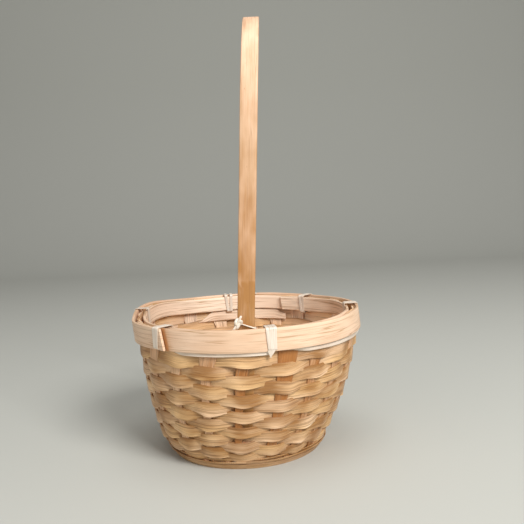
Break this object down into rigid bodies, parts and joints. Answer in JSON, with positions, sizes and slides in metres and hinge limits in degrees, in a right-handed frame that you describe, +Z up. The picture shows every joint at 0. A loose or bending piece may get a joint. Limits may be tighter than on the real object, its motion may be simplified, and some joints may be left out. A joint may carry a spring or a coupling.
{
  "type": "handled basket",
  "caption": "Round woven splint basket with a tall fixed arch handle, clamped hoop rim and white binding.",
  "frame": {"origin": "middle of the basket's foot, on the surface that it stands on", "axes": "+Z up; -Y towards the handle leg that is nearer in the picture; +X to the right of that view"},
  "size_m": [0.1615, 0.1613, 0.2975],
  "materials": {
    "pale_bamboo": "planed, satin",
    "tan_bamboo": "split, dull",
    "brown_bamboo": "split, dull",
    "handle_bamboo": "planed, satin",
    "white_binding": "thin strip, half gloss"
  },
  "bodies": {
    "root": {"back_lashing": "white_binding", "binder_run_1": "white_binding", "binder_run_2": "white_binding", "binder_run_3": "white_binding", "binder_run_4": "white_binding", "binder_run_5": "white_binding", "binder_run_6": "white_binding", "extra_stake": "brown_bamboo", "floor_weaver": "tan_bamboo", "foot_hoop": "tan_bamboo", "front_back_splint_1": "brown_bamboo", "front_back_splint_2": "brown_bamboo", "front_back_splint_3": "brown_bamboo", "front_back_splint_4": "brown_bamboo", "front_back_splint_5": "brown_bamboo", "front_lashing": "white_binding", "handle": "handle_bamboo", "inner_hoop": "pale_bamboo", "outer_hoop": "pale_bamboo", "rim_tie_1": "white_binding", "rim_tie_2": "white_binding", "rim_tie_3": "white_binding", "rim_tie_4": "white_binding", "rim_tie_5": "white_binding", "rim_tie_6": "white_binding", "rim_weaver": "tan_bamboo", "side_splint_1": "brown_bamboo", "side_splint_2": "brown_bamboo", "side_splint_3": "brown_bamboo", "side_splint_4": "brown_bamboo", "side_splint_5": "brown_bamboo", "wall_weaver_1": "tan_bamboo", "wall_weaver_10": "tan_bamboo", "wall_weaver_11": "tan_bamboo", "wall_weaver_12": "tan_bamboo", "wall_weaver_2": "tan_bamboo", "wall_weaver_3": "tan_bamboo", "wall_weaver_4": "tan_bamboo", "wall_weaver_5": "tan_bamboo", "wall_weaver_6": "tan_bamboo", "wall_weaver_7": "tan_bamboo", "wall_weaver_8": "tan_bamboo", "wall_weaver_9": "tan_bamboo"}
  },
  "joints": []
}
